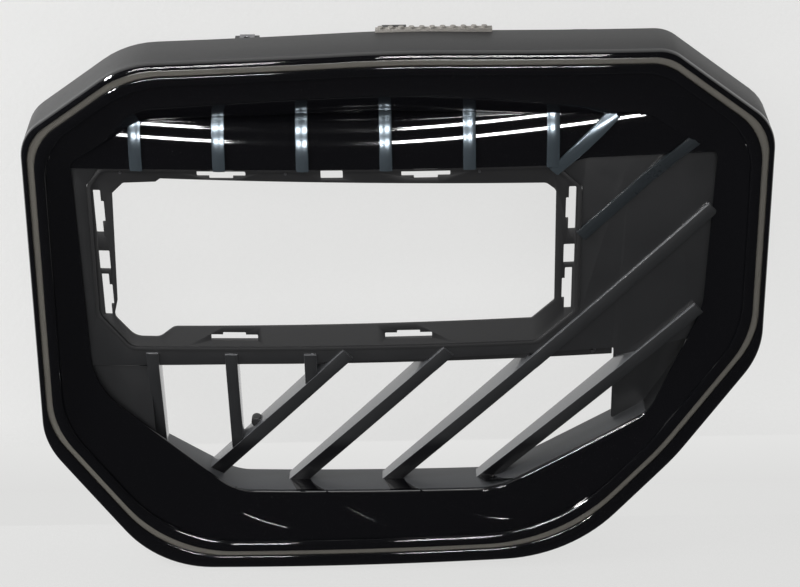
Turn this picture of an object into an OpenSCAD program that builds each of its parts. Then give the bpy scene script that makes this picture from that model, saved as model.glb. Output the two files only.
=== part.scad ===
// Front grille of a car: an octagonal ring round a panel that carries the
// number-plate frame, with a slatted air opening below.
// +Z is up, the front faces -Y, and X runs across the car.
// The origin is the centre locating hole, on the top face of its tab.

/* [Ring] */
// Half width of the ring, to the middle of the inlay strip
ring_half_w = 401; // [385:1:415]
// Height of the ring's top edge at the middle of the inlay strip
ring_top_z = -9; // [-14:1:-6]
// Height of the ring's bottom edge at the middle of the inlay strip
ring_bottom_z = -640; // [-655:1:-630]
// Width of the inlay strip
strip_w = 7.5; // [5:0.5:9]
// Width of the gloss bead outside the strip, at the top and the sides
outer_bead_w = 6.5; // [5:0.5:8]
// Extra width of the outer bead along the bottom and the lower corners
lower_lip_w = 12; // [8:1:14]
// Width of the gloss bead inside the strip
inner_bead_w = 12; // [9:0.5:14]
// Radius of the bowed front, seen from above
bow_r = 4000; // [3000:100:8000]

/* [Depths] */
// Distance from the top flange hole to the face of the inlay strip
strip_face_depth = 73; // [70:1:80]
// How far the beads stand in front of the strip
bead_rise = 3; // [2:0.5:4]
// Length of the skirt from front to back
skirt_l = 54; // [46:1:56]
// Wall thickness of the mouldings
wall = 3; // [2.5:0.5:4]
// Distance from the top flange hole to the flat panel's face
panel_depth = 50; // [46:1:54]

/* [Visor] */
// Height of the crease along the visor's lower edge
crease_z = -138; // [-142:1:-134]
// Height of the visor's upper edge at the middle
visor_top_z = -86; // [-92:1:-84]
// How far the crease stands in front of the flat panel
crease_rise = 5; // [4:1:7]
// How far the visor leans back from its crease to its upper edge
visor_lean = 36; // [28:1:40]
// Distance between ribs, and between the bars below them
rib_pitch = 90; // [80:1:92]
// Place of the first rib and the first bar
first_rib_x = -281; // [-290:1:-270]
// Width of a rib
rib_w = 14; // [10:1:18]
// How far a rib stands out of the visor
rib_rise = 3; // [2:0.5:4]

/* [Plate frame] */
// Length of a clip slot
slot_l = 53; // [44:1:56]
// Height of a clip slot
slot_h = 8; // [6:0.5:9]
// Length of the clip slot's wide middle
slot_key_l = 26; // [18:1:30]
// Extra height of the clip slot's wide middle
slot_key_h = 3; // [2:0.5:4]
// Length of a plain slot
plain_slot_l = 24; // [16:1:26]
// Height of a plain slot
plain_slot_h = 12; // [8:0.5:13]

/* [Lower grille] */
// Width of a bar, and of a slat at the crossbar
slat_w = 15; // [11:1:18]
// Width of a slat at its foot
slat_foot_w = 18; // [12:1:20]
// Depth of a bar or slat at the crossbar, from front to back
slat_d = 27; // [20:1:32]
// Depth of a bar or slat at the sill
foot_d = 16; // [12:1:24]
// How far the faces of the bars and slats fall back from the crossbar to the sill
slat_lean = 27; // [15:1:30]
// Width of a diagonal rib
diagonal_w = 14; // [9:1:16]
// Height of the lower sill's upper face
sill_z = -567; // [-572:1:-560]
// Depth of the sill, from front to back
sill_d = 44; // [36:1:46]
// Height of the crossbar's lower edge
crossbar_z = -397; // [-402:1:-392]

/* [Fixings] */
// Radius of the centre locating hole
locator_r = 3.1; // [2.5:0.1:3.5]
// Radius of the holes for the upper, side and lower fixing screws
fixing_r = 3.3; // [2.5:0.1:4]
// Distance between the two upper fixing screws
upper_spacing = 356; // [320:1:380]
// Middle of the two upper fixing screws
upper_mid_x = 21; // [0:1:30]
// Distance across the car between the side fixing holes
side_spacing_x = 770; // [760:1:776]
// Height between the side fixing holes
side_spacing_z = 180; // [140:1:200]
// Middle height of the side fixing holes
side_mid_z = -240; // [-260:1:-220]
// Distance between the two lower fixing holes
lower_spacing = 240; // [180:1:280]
// Height of the lower fixing holes
lower_fix_z = -618; // [-620:1:-614]

/* [Hidden] */
// Straight sides per rounded corner
corner_steps = 6;
// Facets of a full circle, and of the very large bow circles
$fn = 48;
bow_fn = 720;
// A length that reaches past the whole object
reach = 1200;

strip_y = -strip_face_depth;
bow_centre_y = strip_y + bow_r;
bead_y = strip_y - bead_rise;
ring_back_y = strip_y + 7;
skirt_front_y = ring_back_y;
skirt_back_y = skirt_front_y + skirt_l;
flange_t = wall + 1;
flange_front_y = skirt_back_y - flange_t;
panel_y = -panel_depth;
panel_back_y = panel_y + wall;
crease_y = panel_y - crease_rise;
crossbar_back_y = panel_y + 32;
sill_back_y = panel_y + sill_d;
crossbar_y = panel_y + 6;
recess_y = panel_y + 24;

outer_out = strip_w / 2 + outer_bead_w;
lower_out = outer_out + lower_lip_w;
inner_in = -(strip_w / 2 + inner_bead_w);

// Middle line of the inlay strip, clockwise from the top: [x, z, corner radius].
// The lower right corner is cut back further than the lower left one.
ring_path = [
    [0, ring_top_z, 1500],
    [286, ring_top_z - 7, 50],
    [ring_half_w - 4, ring_top_z - 95, 70],
    [ring_half_w, ring_top_z - 353, 110],
    [302, ring_bottom_z + 134, 320],
    [190, ring_bottom_z + 8, 200],
    [-280, ring_bottom_z - 4, 140],
    [-ring_half_w - 2, ring_top_z - 461, 100],
    [-ring_half_w + 9, ring_top_z - 95, 60],
    [-282, ring_top_z - 14, 120]
];
// Outward step of the ring's rim along each edge of that line
rim_steps = [outer_out, outer_out, outer_out, lower_out, lower_out,
    lower_out, lower_out, outer_out, outer_out, outer_out];

// Opening in the ring's funnel, in the same order and with as many corners
aperture_path = [
    [0, visor_top_z + 1, 1500],
    [272, visor_top_z, 55],
    [349, crease_z + 4, 16],
    [344, -330, 90],
    [288, -468, 45],
    [112, sill_z - 1, 90],
    [-195, sill_z - 1, 60],
    [-352, -424, 90],
    [-353, crease_z + 3, 16],
    [-277, visor_top_z - 4, 50]
];

plate_outer = [
    [-322, -143, 8], [172, -143, 8], [202, -172, 10], [203, -329, 10],
    [158, -370, 12], [-306, -375, 12], [-341, -330, 14], [-338, -166, 14]
];
plate_window = [
    [-257, -157, 3], [163, -167, 8], [174, -176, 8], [175, -315, 4], [150, -338, 4],
    [-254, -345, 12], [-271, -359, 14], [-299, -359, 18], [-321, -332, 10],
    [-316, -312, 8], [-311, -176, 3], [-298, -163, 4], [-262, -161, 3]
];

// Upper side of the sill, from its left end round to its right end: [x, z, corner radius]
sill_line = [
    [-302, -494, 0], [-282, -513, 40], [-196, sill_z, 60], [112, sill_z, 90],
    [246, -493, 50], [290, -467, 0]
];
// Side wall of the recess to the right of the air opening, continuing the sill
recess_wall = [[286, -470], [350, -364]];

// Slats: [foot x, foot z, knee x, knee z], and the head of the cap above the knee
lower_slats = [[-230, -567, -77.5, -397], [-121, -567, 34, -397],
    [-10, -567, 149, -397], [102, -567, 268, -397]];
slat_heads = [[-58, -377], [56, -375], [348, -204], [339, -331]];
visor_diagonals = [[170, -150, 235, -85], [202, -232, 322, -116]];

// ---- outlines ----

function unit(v) = v / norm(v);
function corner_at(path, i) = path[(i + len(path)) % len(path)];
function flat2(p) = [p[0], p[1]];
// Direction of the edge that starts at corner i, and its outward normal
function along(path, i) = unit(flat2(corner_at(path, i + 1)) - flat2(corner_at(path, i)));
function outward(path, i) = let (d = along(path, i)) [-d[1], d[0]];

// The path with every edge moved outwards by its own step
function moved(path, steps) = [
    for (i = [0:len(path) - 1])
        let (
            before = (i + len(path) - 1) % len(path),
            n1 = outward(path, before), n2 = outward(path, i), d1 = along(path, before),
            t = (steps[i] - steps[before] * (n1 * n2)) / (d1 * n2),
            turn = d1[1] * n1[0] - d1[0] * n1[1],
            bend = (d1 * n2) > 0 ? -1 : 1,
            p = flat2(path[i]) + n1 * steps[before] + d1 * t
        )
        [p[0], p[1], max(0.5, path[i][2] + turn * bend * -min(steps[before], steps[i]))]
];
function evenly(path, step) = moved(path, [for (p = path) step]);

// Points of the path with each corner rounded as an arc
function rounded(path, steps = corner_steps) = [
    for (i = [0:len(path) - 1])
        let (
            before = (i + len(path) - 1) % len(path),
            d1 = along(path, before), d2 = along(path, i),
            n1 = outward(path, before),
            turn = acos(min(1, max(-1, d1 * d2))),
            side = (d1[0] * d2[1] - d1[1] * d2[0]) < 0 ? 1 : -1,
            r = path[i][2],
            centre = flat2(path[i]) - d1 * r * tan(turn / 2) - n1 * side * r,
            start = atan2(side * n1[1], side * n1[0])
        )
        for (k = [0:steps])
            let (a = start - side * turn * k / steps)
            centre + r * [cos(a), sin(a)]
];

// ---- solids that follow the bow ----

// How far the bow falls back at x from a surface that stands at y in the middle
function bow_y(x, y) = bow_centre_y - sqrt(pow(bow_centre_y - y, 2) - x * x);

// Everything between two bowed surfaces, given by where they stand in the middle
module bow_slab(front_y, back_y) {
    translate([0, bow_centre_y, -reach])
        difference() {
            cylinder(r = bow_centre_y - front_y, h = 2 * reach, $fn = bow_fn);
            translate([0, 0, -1])
                cylinder(r = bow_centre_y - back_y, h = 2 * reach + 2, $fn = bow_fn);
        }
}

// A prism along Y on an outline drawn in X and Z
module prism(points, front_y = -200, back_y = 200) {
    translate([0, back_y, 0])
        rotate([90, 0, 0])
            linear_extrude(height = back_y - front_y)
                polygon(points);
}

module bowed_plate(points, front_y, back_y) {
    intersection() {
        prism(points);
        bow_slab(front_y, back_y);
    }
}

module bowed_band(outer_points, inner_points, front_y, back_y) {
    difference() {
        bowed_plate(outer_points, front_y, back_y);
        prism(inner_points, -250, 250);
    }
}

// Turns a part that is drawn at x = 0 round the bow to another x
module round_bow(x) {
    translate([0, bow_centre_y, 0])
        rotate([0, 0, asin(x / bow_centre_y)])
            translate([0, -bow_centre_y, 0])
                children();
}

// A closed skin through loops of points, where the last loop joins the first
module loop_skin(loops) {
    n = len(loops[0]);
    m = len(loops);
    polyhedron(
        points = [for (l = loops) for (p = l) p],
        faces = [
            for (j = [0:m - 1]) for (i = [0:n - 1])
                let (a = j * n + i, b = j * n + (i + 1) % n,
                    c = ((j + 1) % m) * n + (i + 1) % n, d = ((j + 1) % m) * n + i)
                each [[a, b, c], [a, c, d]]
        ],
        convexity = 6);
}

function sloped_bar(ends, w) =
    let (foot = [ends[0], ends[1]], head = [ends[2], ends[3]], d = unit(head - foot),
        side = [-d[1], d[0]] * w / 2)
    [foot + side, head + side, head - side, foot - side];

// ---- ring ----

rim_line = moved(ring_path, rim_steps);
rim_points = rounded(rim_line);
skirt_inner_points = rounded(evenly(rim_line, -wall));
flange_points = rounded(evenly(ring_path, -24));
strip_outer_points = rounded(evenly(ring_path, strip_w / 2));
strip_inner_points = rounded(evenly(ring_path, -strip_w / 2));
ring_inner_path = evenly(ring_path, inner_in);
ring_inner_points = rounded(ring_inner_path);

// Evenly shared places along the middle of the rear flange
post_line = evenly(ring_path, -8);
function post_places() = [
    for (i = [0:len(post_line) - 1])
        let (a = flat2(post_line[i]), b = flat2(corner_at(post_line, i + 1)),
            count = max(1, round(norm(b - a) / 150)))
        for (k = [0:count - 1])
            a + (b - a) * (k + 0.5) / count
];
post_r = 5;
ring_screw_r = 2;
screw_head_r = 4.5;
screw_head_h = 3;

tab_t = 3;
tab_half_w = 13;
web_h = 24;
upper_tab_x = [upper_mid_x - upper_spacing / 2, upper_mid_x + upper_spacing / 2];
upper_tab_z = -11;
upper_tab_back_y = 8;
locator_back_y = 5;
side_holes = [for (sx = [-1, 1]) for (sz = [-1, 1])
    [sx * side_spacing_x / 2, side_mid_z + sz * side_spacing_z / 2]];
lower_holes = [for (sx = [-1, 1]) [sx * lower_spacing / 2, lower_fix_z]];

module hole_y(place, r) {
    translate([place[0], -100, place[1]])
        rotate([-90, 0, 0])
            cylinder(r = r, h = 200);
}

// Flat pad behind the flange, so that a screw head has a true seat
pad_r = 9;
pad_back_y = panel_y + 60;
module pad(place) {
    translate([place[0], bow_y(place[0], flange_front_y) + 1, place[1]])
        rotate([-90, 0, 0])
            cylinder(r = pad_r, h = pad_back_y - bow_y(place[0], flange_front_y) - 1);
}

module top_tab(x, top_z, back_y) {
    front_y = bow_y(x, skirt_back_y) + 1;
    translate([x - tab_half_w, front_y, top_z - tab_t])
        cube([2 * tab_half_w, back_y - front_y, tab_t]);
    // Web that stands on the flange's rear face
    round_bow(x)
        translate([-tab_half_w, skirt_back_y, top_z - web_h])
            cube([2 * tab_half_w, wall, web_h - tab_t / 2]);
}

module carrier_frame() {
    color([0.20, 0.20, 0.21])
        difference() {
            union() {
                bowed_band(rim_points, skirt_inner_points, skirt_front_y, skirt_back_y);
                bowed_band(rim_points, flange_points, flange_front_y, skirt_back_y);
                for (p = post_places())
                    translate([p[0], bow_y(p[0], skirt_front_y), p[1]])
                        rotate([-90, 0, 0])
                            cylinder(r = post_r, h = skirt_l - 1);
                for (p = concat(side_holes, lower_holes))
                    pad(p);
            }
            for (p = post_places())
                hole_y(p, ring_screw_r + 0.3);
            for (p = concat(side_holes, lower_holes))
                hole_y(p, fixing_r);
        }
}

// The three tabs on the carrier's top edge, each with a web that ends on the flange
module top_tabs() {
    color([0.22, 0.22, 0.23])
        difference() {
            union() {
                top_tab(0, 0, locator_back_y);
                for (x = upper_tab_x)
                    top_tab(x, upper_tab_z, upper_tab_back_y);
            }
            translate([0, 0, -10])
                cylinder(r = locator_r, h = 20);
            for (x = upper_tab_x)
                translate([x, 0, upper_tab_z - 10])
                    cylinder(r = fixing_r, h = 20);
        }
}

module surround_ring() {
    color([0.05, 0.05, 0.06])
        difference() {
            bowed_band(rim_points, ring_inner_points, bead_y, ring_back_y);
            // Groove that the inlay strip lies in
            intersection() {
                difference() {
                    prism(strip_outer_points, -210, 210);
                    prism(strip_inner_points, -220, 220);
                }
                bow_slab(bead_y - 5, strip_y + 2);
            }
        }
}

module inlay_strip() {
    color([0.43, 0.42, 0.39])
        bowed_band(strip_outer_points, strip_inner_points, strip_y, strip_y + 2);
}

// Depth of the funnel's inner edge: it lies on the flat panel, and follows the visor
// above the crease as that leans back
edge_blend = 30;
function edge_y(z) = z > crease_z ? visor_y(z)
    : panel_y - crease_rise * max(0, 1 - (crease_z - z) / edge_blend);

function at_depth(points, y) = [for (p = points) [p[0], bow_y(p[0], y), p[1]]];
function at_edge(points, shift) = [for (p = points) [p[0], bow_y(p[0], edge_y(p[1]) + shift), p[1]]];

module inner_bezel() {
    root = rounded(evenly(ring_inner_path, -0.2));
    root_back = rounded(evenly(ring_inner_path, 5));
    lip = rounded(aperture_path);
    color([0.04, 0.04, 0.05])
        loop_skin([
            at_depth(root, ring_back_y - 4),
            at_edge(lip, -wall),
            at_edge(lip, -0.2),
            at_depth(root, ring_back_y + wall),
            at_depth(root_back, ring_back_y + wall),
            at_depth(root_back, ring_back_y),
            at_depth(root, ring_back_y)
        ]);
}

// ---- panel ----

// Front of the visor in section, in Y and Z: an arc from the crease to the upper edge,
// which laps behind the funnel
visor_turn = 54;
visor_steps = 8;
lap = 5;
visor_low = [crease_y, crease_z];
visor_high = [crease_y + visor_lean, visor_top_z + lap];
visor_r = norm(visor_high - visor_low) / 2 / sin(visor_turn / 2);
visor_up = unit(visor_high - visor_low);
visor_centre = (visor_low + visor_high) / 2
    + [visor_up[1], -visor_up[0]] * visor_r * cos(visor_turn / 2);
visor_start = atan2(visor_up[0], visor_up[1]) - visor_turn / 2;
function visor_section(rise) = [for (k = [0:visor_steps])
    let (a = visor_start + visor_turn * k / visor_steps)
    visor_centre + (visor_r + rise) * [-cos(a), sin(a)]];
function visor_y(z) = visor_centre[0] - sqrt(pow(visor_r, 2) - pow(z - visor_centre[1], 2));

// Sweeps a section in Y and Z round the bow, over a span in X
module swept_section(points, x0, x1) {
    a0 = asin(x0 / bow_centre_y);
    a1 = asin(x1 / bow_centre_y);
    translate([0, bow_centre_y, 0])
        rotate([0, 0, -90 + a0])
            rotate_extrude(angle = a1 - a0, $fn = bow_fn)
                polygon([for (p = points) [bow_centre_y - p[0], p[1]]]);
}

visor_outline = rounded([
    [0, visor_top_z + lap, 1500], [275, visor_top_z + lap - 1, 55], [356, crease_z + 8, 1],
    [356, crease_z + 3, 1], [204, crease_z + 3, 6], [182, crease_z - 5, 6],
    [-359, crease_z - 5, 2], [-359, crease_z + 8, 3], [-281, visor_top_z, 50]]);

module visor_panel() {
    front = visor_section(0);
    back = visor_section(-wall);
    low = [[panel_y - 0.5, crease_z - 5], [crease_y, crease_z - 5]];
    section = concat(low, front, [for (i = [visor_steps:-1:0]) back[i]]);
    color([0.04, 0.04, 0.05])
        intersection() {
            swept_section(section, -362, 358);
            prism(visor_outline);
        }
}

module visor_rib(i) {
    x = first_rib_x + i * rib_pitch;
    out = visor_section(rib_rise);
    under = visor_section(0);
    low_z = crease_z - 8;
    section = concat([[crease_y, low_z], [crease_y - rib_rise, low_z + 1]], out,
        [for (k = [visor_steps:-1:0]) under[k]]);
    color([0.36, 0.41, 0.44])
        round_bow(x)
            translate([-rib_w / 2, 0, 0])
                rotate([90, 0, 90])
                    linear_extrude(height = rib_w)
                        polygon(section);
}

panel_outline = rounded([
    [-360, crease_z - 5, 6], [170, crease_z - 5, 6], [206, crease_z + 3, 6],
    [354, crease_z + 3, 6], [349, -330, 60], [334, -370, 6], [244, -391, 6],
    [244, crossbar_z + 18, 2], [-357, crossbar_z, 2]]);

module flat_panel() {
    color([0.20, 0.20, 0.21])
        bowed_band(panel_outline, rounded(evenly(plate_outer, 0.3)), panel_y, panel_back_y);
}

module slot_y(x, z, l, h, r) {
    prism(rounded([[x - l / 2, z + h / 2, r], [x + l / 2, z + h / 2, r],
        [x + l / 2, z - h / 2, r], [x - l / 2, z - h / 2, r]]));
}

// Clip slot with a wide middle: turned by 90 degrees on the sides
module clip_slot(x, z, turned, key_side) {
    l = turned ? slot_h : slot_l;
    h = turned ? slot_l : slot_h;
    key_l = turned ? slot_h : slot_key_l;
    key_h = turned ? slot_key_l : slot_h;
    shift = key_side * slot_key_h;
    slot_y(x, z, l, h, 1);
    slot_y(x + (turned ? shift : 0), z + (turned ? 0 : shift), key_l, key_h, 1);
}

plate_flange_y = panel_y + 3;
plate_back_y = plate_flange_y + wall;

module plate_frame() {
    rim_w = 4;
    color([0.16, 0.16, 0.17])
        difference() {
            union() {
                bowed_band(rounded(plate_outer), rounded(plate_window), plate_flange_y,
                    plate_back_y);
                // Raised rim round the flange
                bowed_band(rounded(plate_outer), rounded(evenly(plate_outer, -rim_w)),
                    panel_y - 1, plate_back_y);
            }
            for (s = [[-190, -150], [32, -151]])
                clip_slot(s[0], s[1], false, -1);
            for (s = [[-186, -358], [11, -356]])
                clip_slot(s[0], s[1], false, 1);
            for (s = [[-328, -199], [-327, -304]])
                clip_slot(s[0], s[1], true, 1);
            for (s = [[192, -199], [190, -300]])
                clip_slot(s[0], s[1], true, -1);
            slot_y(-70, -151, plain_slot_l, plain_slot_h, 1);
            slot_y(-326, -260, plain_slot_h, plain_slot_l, 1);
            slot_y(190, -256, plain_slot_h, plain_slot_l, 1);
        }
}

// ---- diagonal ribs, slats and bars ----

module diagonal_rib(i) {
    color([0.30, 0.33, 0.35])
        intersection() {
            prism(sloped_bar(visor_diagonals[i], diagonal_w));
            swept_section(concat(
                [[panel_y - 1, -260], [panel_y - 3, -260], [panel_y - 3, crease_z - 12],
                    [crease_y - rib_rise, crease_z - 4]],
                visor_section(rib_rise),
                [for (k = [visor_steps:-1:0]) visor_section(0)[k]],
                [[crease_y, crease_z - 5], [panel_y - 1, crease_z - 5]]), 140, 358);
        }
}

// Everything above the sill's upper side
above_sill = rounded(concat(sill_line, [[500, -400, 1], [500, 0, 1], [-500, 0, 1], [-500, -400, 1]]));

// Highest point of a bar or slat under the crossbar's lower edge
function under_bar(x) = crossbar_z - 0.5 + 6 * min(1, (x + 300) / 543);

// A bar or slat on an outline: a shallow cap over the panel, and below the crossbar a body
// that leans back to the sill
module leaning_bar(outline, front_y, cap_back_y, top_z) {
    knee_z = crossbar_z - 1;
    low_z = sill_z - 8;
    part = (knee_z - low_z) / (knee_z - sill_z);
    back_y = front_y + slat_d;
    xs = [for (p = outline) p[0]];
    intersection() {
        prism(outline);
        swept_section([
            [front_y, 0], [front_y, knee_z], [front_y + slat_lean * part, low_z],
            [back_y + (slat_lean + foot_d - slat_d) * part, low_z], [back_y, knee_z],
            [back_y, top_z], [cap_back_y, top_z], [cap_back_y, 0]
        ], min(xs) - 12, max(xs) + 12);
    }
}

function across(d) = [-d[1], d[0]] / 2;
function slat_outline(i) =
    let (s = lower_slats[i], foot = [s[0], s[1]], knee = [s[2], s[3]], head = slat_heads[i],
        low = unit(knee - foot), up = unit(head - knee), mid = unit(low + up),
        past = foot - low * 14)
    [past + across(low) * slat_foot_w, knee + across(mid) * slat_w, head + across(up) * slat_w,
        head - across(up) * slat_w, knee - across(mid) * slat_w,
        past - across(low) * slat_foot_w];

slat_cap_h = 4;
module slat(i) {
    color([0.24, 0.24, 0.25])
        intersection() {
            leaning_bar(slat_outline(i), panel_y - slat_cap_h, panel_y,
                under_bar(lower_slats[i][2]));
            prism(above_sill, -250, 250);
        }
}

// Slat A also carries a snap boss behind the second bar
boss_x = -168;
boss_r = 6;
module slat_a() {
    slat(0);
    color([0.24, 0.24, 0.25])
        translate([boss_x, panel_y + 22, on_slat_a(boss_x) + boss_r / 2])
            rotate([-90, 0, 0])
                cylinder(r = boss_r, h = 12);
}
module slat_b() slat(1);
module slat_c() slat(2);
module slat_d() slat(3);

// Upper side of slat A at x, where the second and third bars end on it
function on_slat_a(x) =
    let (s = lower_slats[0], slope = (s[3] - s[1]) / (s[2] - s[0]))
    s[1] + (x - s[0]) * slope + slat_w / 2 * sqrt(1 + slope * slope);

// Heights of the first bar's two lower corners, on the sill
bar_1_foot = [-507.5, -518.5];

module bar(i) {
    x = first_rib_x + i * rib_pitch;
    w = slat_w - 1;
    foot = i == 0 ? bar_1_foot : [on_slat_a(x - w / 2), on_slat_a(x + w / 2)];
    outline = [[x - w / 2, -378], [x + w / 2, -378], [x + w / 2, foot[1]], [x - w / 2, foot[0]]];
    color([0.26, 0.26, 0.27])
        leaning_bar(outline, panel_y - 3, crossbar_y, under_bar(x));
}

module bar_1() bar(0);
module bar_2() bar(1);
module bar_3() bar(2);

module crossbar() {
    color([0.18, 0.18, 0.19])
        bowed_plate([[-300, -377], [243, -372], [243, -391], [-300, crossbar_z]],
            crossbar_y, crossbar_back_y);
}

// Open strip along a line, of a given thickness below it
function strip_outline(line, t) =
    let (n = len(line), closed = concat(line, [[line[n - 1][0] + 40, line[n - 1][1] + 200, 0],
        [line[0][0] - 40, line[0][1] + 200, 0]]),
        fine = rounded([for (i = [0:n + 1]) closed[n + 1 - i]]),
        wide = rounded(evenly([for (i = [0:n + 1]) closed[n + 1 - i]], t)))
    [fine, wide];

module lower_sill() {
    lines = strip_outline(sill_line, wall);
    color([0.22, 0.22, 0.23])
        intersection() {
            bowed_band(lines[1], lines[0], panel_y + 2.5, sill_back_y);
            translate([-310, -reach / 2, -600])
                cube([603, reach, 600 - 467]);
        }
}

module left_fill_panel() {
    color([0.15, 0.15, 0.16])
        bowed_plate(rounded([[-352, crossbar_z - 1, 2], [-289, crossbar_z - 1, 2],
            [-289, -502, 2], [-304, -490, 4], [-350, -424, 40]]), panel_y + 3, panel_y + 3 + wall);
}

module right_fill_panel() {
    color([0.15, 0.15, 0.16])
        union() {
            bowed_plate(rounded([[247, -393, 2], [348, -372, 2], [290, -466, 2], [247, -491, 2]]),
                recess_y, recess_y + wall);
            bowed_plate(sloped_bar(concat(recess_wall[0], recess_wall[1]), wall),
                panel_y + 0.5, recess_y + wall);
        }
}

// ---- seals and hardware ----

seal_x0 = -20;
seal_x1 = 104;
seal_pitch = 11;
seal_top_z = 3;
seal_bump = 2;

module top_seal() {
    color([0.55, 0.53, 0.50])
        union() {
            translate([seal_x0, flange_front_y + 0.5, -8])
                cube([seal_x1 - seal_x0, 7, seal_top_z + 8]);
            for (x = [seal_x0 + seal_pitch / 2:seal_pitch:seal_x1 - seal_pitch / 2])
                translate([x, flange_front_y + 4, seal_top_z])
                    cylinder(r = 3, h = seal_bump);
        }
}

buffer_places = [[317, -42], [349, -66]];
buffer_r = 6;
buffer_h = 8;

module corner_buffers() {
    color([0.12, 0.12, 0.12])
        for (p = buffer_places)
            translate([p[0], bow_y(p[0], skirt_back_y) - 0.5, p[1]])
                rotate([-90, 0, 0])
                    cylinder(r = buffer_r, h = buffer_h);
}

nut_w = 16;
nut_l = 15;
nut_t = 1;
nut_low_z = upper_tab_z - tab_t - nut_t;

module spring_nuts() {
    color([0.45, 0.46, 0.47])
        for (x = upper_tab_x)
            difference() {
                union() {
                    for (z = [upper_tab_z, nut_low_z])
                        translate([x - nut_w / 2, upper_tab_back_y - nut_l, z])
                            cube([nut_w, nut_l + nut_t, nut_t]);
                    translate([x - nut_w / 2, upper_tab_back_y, nut_low_z])
                        cube([nut_w, nut_t, tab_t + 2 * nut_t]);
                    translate([x, 0, nut_low_z - 4])
                        cylinder(r = 5, h = 4.5);
                }
                translate([x, 0, upper_tab_z - 20])
                    cylinder(r = fixing_r, h = 40);
            }
}

module screw_y(place, head_y, l, r) {
    translate([place[0], head_y, place[1]])
        rotate([90, 0, 0])
            cylinder(r = r, h = l);
    translate([place[0], head_y, place[1]])
        rotate([-90, 0, 0])
            difference() {
                cylinder(r = screw_head_r, h = screw_head_h);
                translate([0, 0, 1.2])
                    cylinder(r = 2, h = screw_head_h);
            }
}

module ring_screws() {
    color([0.3, 0.3, 0.31])
        for (p = post_places())
            screw_y(p, bow_y(p[0], skirt_front_y) + skirt_l - 1, skirt_l + 3, ring_screw_r);
}

// Short screws that hold the panel and the plate frame to the visor's rear rail
panel_screw_places = [[-300, -150.5], [-120, -150.5], [90, -150.5], [-330, -386], [220, -384]];

module panel_screws() {
    color([0.3, 0.3, 0.31])
        for (p = panel_screw_places)
            screw_y(p, bow_y(p[0], plate_back_y), 4, 1.6);
}

carrier_frame();
top_tabs();
surround_ring();
inlay_strip();
inner_bezel();
visor_panel();
flat_panel();
plate_frame();
visor_rib(0);  // visor_rib_1
visor_rib(1);  // visor_rib_2
visor_rib(2);  // visor_rib_3
visor_rib(3);  // visor_rib_4
visor_rib(4);  // visor_rib_5
visor_rib(5);  // visor_rib_6
diagonal_rib(0);  // diagonal_rib_1
diagonal_rib(1);  // diagonal_rib_2
slat_a();
slat_b();
slat_c();
slat_d();
bar_1();
bar_2();
bar_3();
crossbar();
lower_sill();
left_fill_panel();
right_fill_panel();
top_seal();
corner_buffers();
spring_nuts();
ring_screws();
panel_screws();
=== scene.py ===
import math

import bmesh
import bpy
from mathutils import Matrix, Vector


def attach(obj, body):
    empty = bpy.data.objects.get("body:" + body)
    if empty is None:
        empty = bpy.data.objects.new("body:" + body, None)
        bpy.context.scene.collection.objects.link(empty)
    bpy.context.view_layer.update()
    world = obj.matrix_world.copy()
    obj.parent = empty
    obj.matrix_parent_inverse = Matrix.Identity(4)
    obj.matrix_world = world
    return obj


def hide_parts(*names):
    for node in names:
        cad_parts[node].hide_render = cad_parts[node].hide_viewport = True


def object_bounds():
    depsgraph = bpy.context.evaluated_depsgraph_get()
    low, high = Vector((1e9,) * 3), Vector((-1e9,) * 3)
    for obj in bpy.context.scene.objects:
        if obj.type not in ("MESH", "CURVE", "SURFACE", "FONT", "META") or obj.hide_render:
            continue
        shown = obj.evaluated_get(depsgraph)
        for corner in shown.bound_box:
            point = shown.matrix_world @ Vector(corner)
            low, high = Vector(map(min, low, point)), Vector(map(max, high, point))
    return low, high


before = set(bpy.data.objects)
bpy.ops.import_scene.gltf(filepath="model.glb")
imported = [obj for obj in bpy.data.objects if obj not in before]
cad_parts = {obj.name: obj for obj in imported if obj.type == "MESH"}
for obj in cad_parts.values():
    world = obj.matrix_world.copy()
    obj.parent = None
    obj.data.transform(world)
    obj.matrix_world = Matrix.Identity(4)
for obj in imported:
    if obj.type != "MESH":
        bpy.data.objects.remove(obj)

bl_info = {
    "name": "Front Grille",
    "version": (1, 0, 0),
    "blender": (4, 5, 0),
    "location": "View3D > Sidebar > Grille",
    "description": "Builds the looks of a slatted front grille round its frame",
    "category": "Add Mesh",
}

MM = 0.001
SAME_PLACE = 0.001 * MM
CAD_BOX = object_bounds()

# Depths in mm at the middle of the grille. Every surface falls back along a bow.
BOW_CENTRE_Y = 3927.0
STRIP_Y = -73.0
RING_BACK_Y = -66.0
PANEL_Y = -50.0
CREASE_Z = -138.0
CREASE_Y = -55.0
VISOR_TOP_Z = -86.0
CROSSBAR_Z = -397.0
SILL_Z = -567.0
VISOR_LEFT, VISOR_RIGHT = -361, 358
VISOR_WALL = 2.4
# The visor's crease climbs a little beside the plate frame
CREASE_STEP, CREASE_STEP_X, CREASE_STEP_L = 8.0, 182, 22

# Ring: half the strip's groove, widths of the narrow and the wide outer lip, and the width
# from the strip's middle line to the funnel
GROOVE_HALF = 3.75
NARROW_LIP, WIDE_LIP = 6.5, 18.5
INNER_BEAD = 15.9
# Funnel: wall, how far it starts before the ring's back, how far its lip stands before the
# panel, and how deep it dips between its edges
FUNNEL_WALL = 2.6
FUNNEL_START = 3.5
LIP_PROUD = 3.0
FUNNEL_DIP = 2.2

# Middle line of the inlay strip, clockwise from the top: x, z, corner radius
RING_LINE = [
    (0, -9, 1500), (286, -16, 50), (397, -104, 70), (401, -362, 110), (302, -506, 320),
    (190, -632, 200), (-280, -644, 140), (-403, -470, 100), (-392, -104, 60), (-282, -23, 120),
]
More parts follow.
